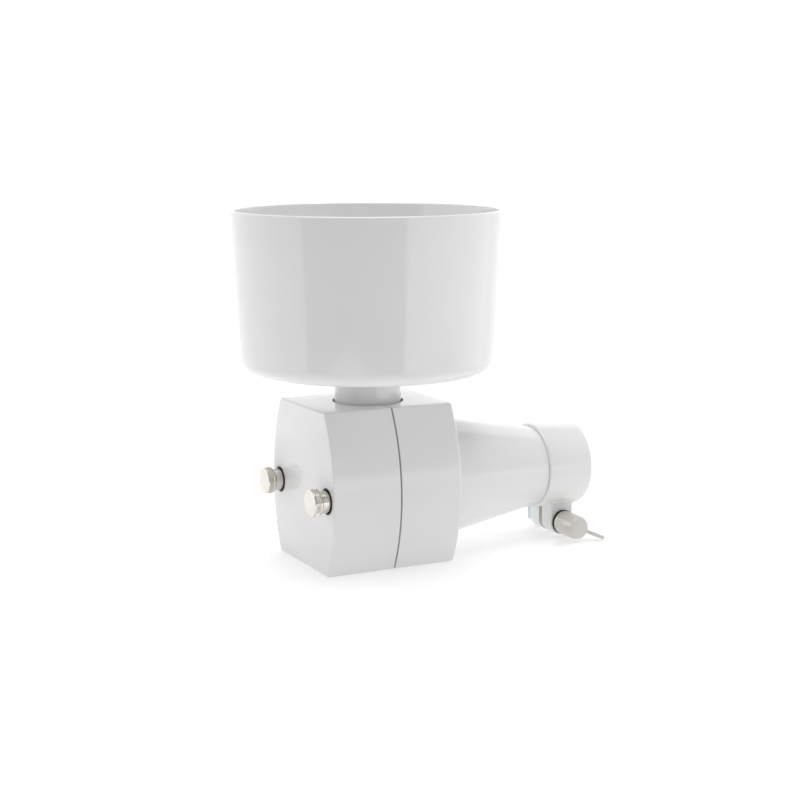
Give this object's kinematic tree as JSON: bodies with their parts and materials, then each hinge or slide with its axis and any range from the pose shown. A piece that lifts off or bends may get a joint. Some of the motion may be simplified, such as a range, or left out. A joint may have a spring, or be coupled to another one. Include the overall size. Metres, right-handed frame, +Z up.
{
  "type": "grain mill attachment",
  "caption": "Stone grain mill attachment for a kitchen machine, with a drum hopper on a neck, a two-part housing and a clamp collar.",
  "frame": {"origin": "centre of the whole mill's box at the height of its flat base", "axes": "+X along the drive shaft, from the front plate to the clamp collar; +Z up; -Y is the wing nut's side"},
  "size_m": [0.239, 0.1678, 0.2186],
  "materials": {
    "housing_plastic": "moulded gloss white",
    "hopper_plastic": "moulded gloss white",
    "collar_plastic": "moulded gloss white",
    "grip_plastic": "moulded light grey",
    "nickel_plate": "nickel plated, knurled",
    "zinc_plate": "bright zinc plated",
    "steel": "turned",
    "brass": "turned",
    "black_rubber": "moulded",
    "black_plastic": "moulded",
    "grinding_stone": "bonded stone, dressed",
    "cast_aluminium": "die cast",
    "white_nylon": "moulded"
  },
  "bodies": {
    "mill_body": {"rear_housing": "housing_plastic", "clamp_collar": "collar_plastic", "clamp_bolt": "zinc_plate", "left_stud": "steel", "right_stud": "steel", "left_stud_insert": "brass", "right_stud_insert": "brass", "feed_housing": "cast_aluminium", "feed_housing_screws": "zinc_plate", "fixed_stone_plate": "steel", "fixed_stone": "grinding_stone", "stone_plate_screws": "zinc_plate", "main_bearing": "steel", "bearing_circlip": "steel", "shaft_seal": "black_rubber", "rear_bush": "brass", "neck_seal": "black_rubber"},
    "rotor": {"drive_shaft": "steel", "stone_lock_nut": "steel", "stone_carrier": "steel", "carrier_pin": "steel", "rotating_stone": "grinding_stone", "feed_auger": "white_nylon", "auger_pin": "steel", "shaft_circlip": "steel", "drive_coupling": "white_nylon", "coupling_pin": "steel"},
    "front_cover": {"front_housing": "housing_plastic", "left_plate_seal": "black_rubber", "right_plate_seal": "black_rubber"},
    "left_washer": {"left_nut_washer": "steel"},
    "left_nut": {"left_thumb_nut": "nickel_plate"},
    "right_washer": {"right_nut_washer": "steel"},
    "right_nut": {"right_thumb_nut": "nickel_plate"},
    "wing_washer": {"clamp_washer": "black_plastic"},
    "wing_nut": {"wing_nut": "grip_plastic", "wing_nut_insert": "brass"},
    "hopper": {"hopper_drum": "hopper_plastic", "hopper_funnel": "hopper_plastic"}
  },
  "joints": [
    {"name": "rotor_spin", "type": "hinge", "parent": "mill_body", "child": "rotor", "pos_m": [0, 0, 0.047], "axis": [1, 0, 0], "continuous": true},
    {"name": "hopper_lift", "type": "slide", "parent": "mill_body", "child": "hopper", "axis": [0, 0, 1], "range_m": [0, 0.05]},
    {"name": "front_cover_pull", "type": "slide", "parent": "mill_body", "child": "front_cover", "axis": [-1, 0, 0], "range_m": [0, 0.055]},
    {"name": "left_nut_travel", "type": "slide", "parent": "front_cover", "child": "left_washer", "axis": [-1, 0, 0], "range_m": [0, 0.0101]},
    {"name": "left_nut_turn", "type": "hinge", "parent": "left_washer", "child": "left_nut", "pos_m": [-0.078, 0.036, 0.047], "axis": [-1, 0, 0], "range_deg": [0, 3600]},
    {"name": "right_nut_travel", "type": "slide", "parent": "front_cover", "child": "right_washer", "axis": [-1, 0, 0], "range_m": [0, 0.0101]},
    {"name": "right_nut_turn", "type": "hinge", "parent": "right_washer", "child": "right_nut", "pos_m": [-0.078, -0.036, 0.047], "axis": [-1, 0, 0], "range_deg": [0, 3600]},
    {"name": "wing_nut_travel", "type": "slide", "parent": "mill_body", "child": "wing_washer", "axis": [0, -1, 0], "range_m": [0, 0.0101]},
    {"name": "wing_nut_turn", "type": "hinge", "parent": "wing_washer", "child": "wing_nut", "pos_m": [0.1013, -0.0152, 0.0094], "axis": [0, -1, 0], "range_deg": [0, 2880]}
  ],
  "couplings": [
    {"joint": "left_nut_travel", "follows": "left_nut_turn", "m_per_rad": 0.00015915},
    {"joint": "right_nut_travel", "follows": "right_nut_turn", "m_per_rad": 0.00015915},
    {"joint": "wing_nut_travel", "follows": "wing_nut_turn", "m_per_rad": 0.00019894}
  ]
}
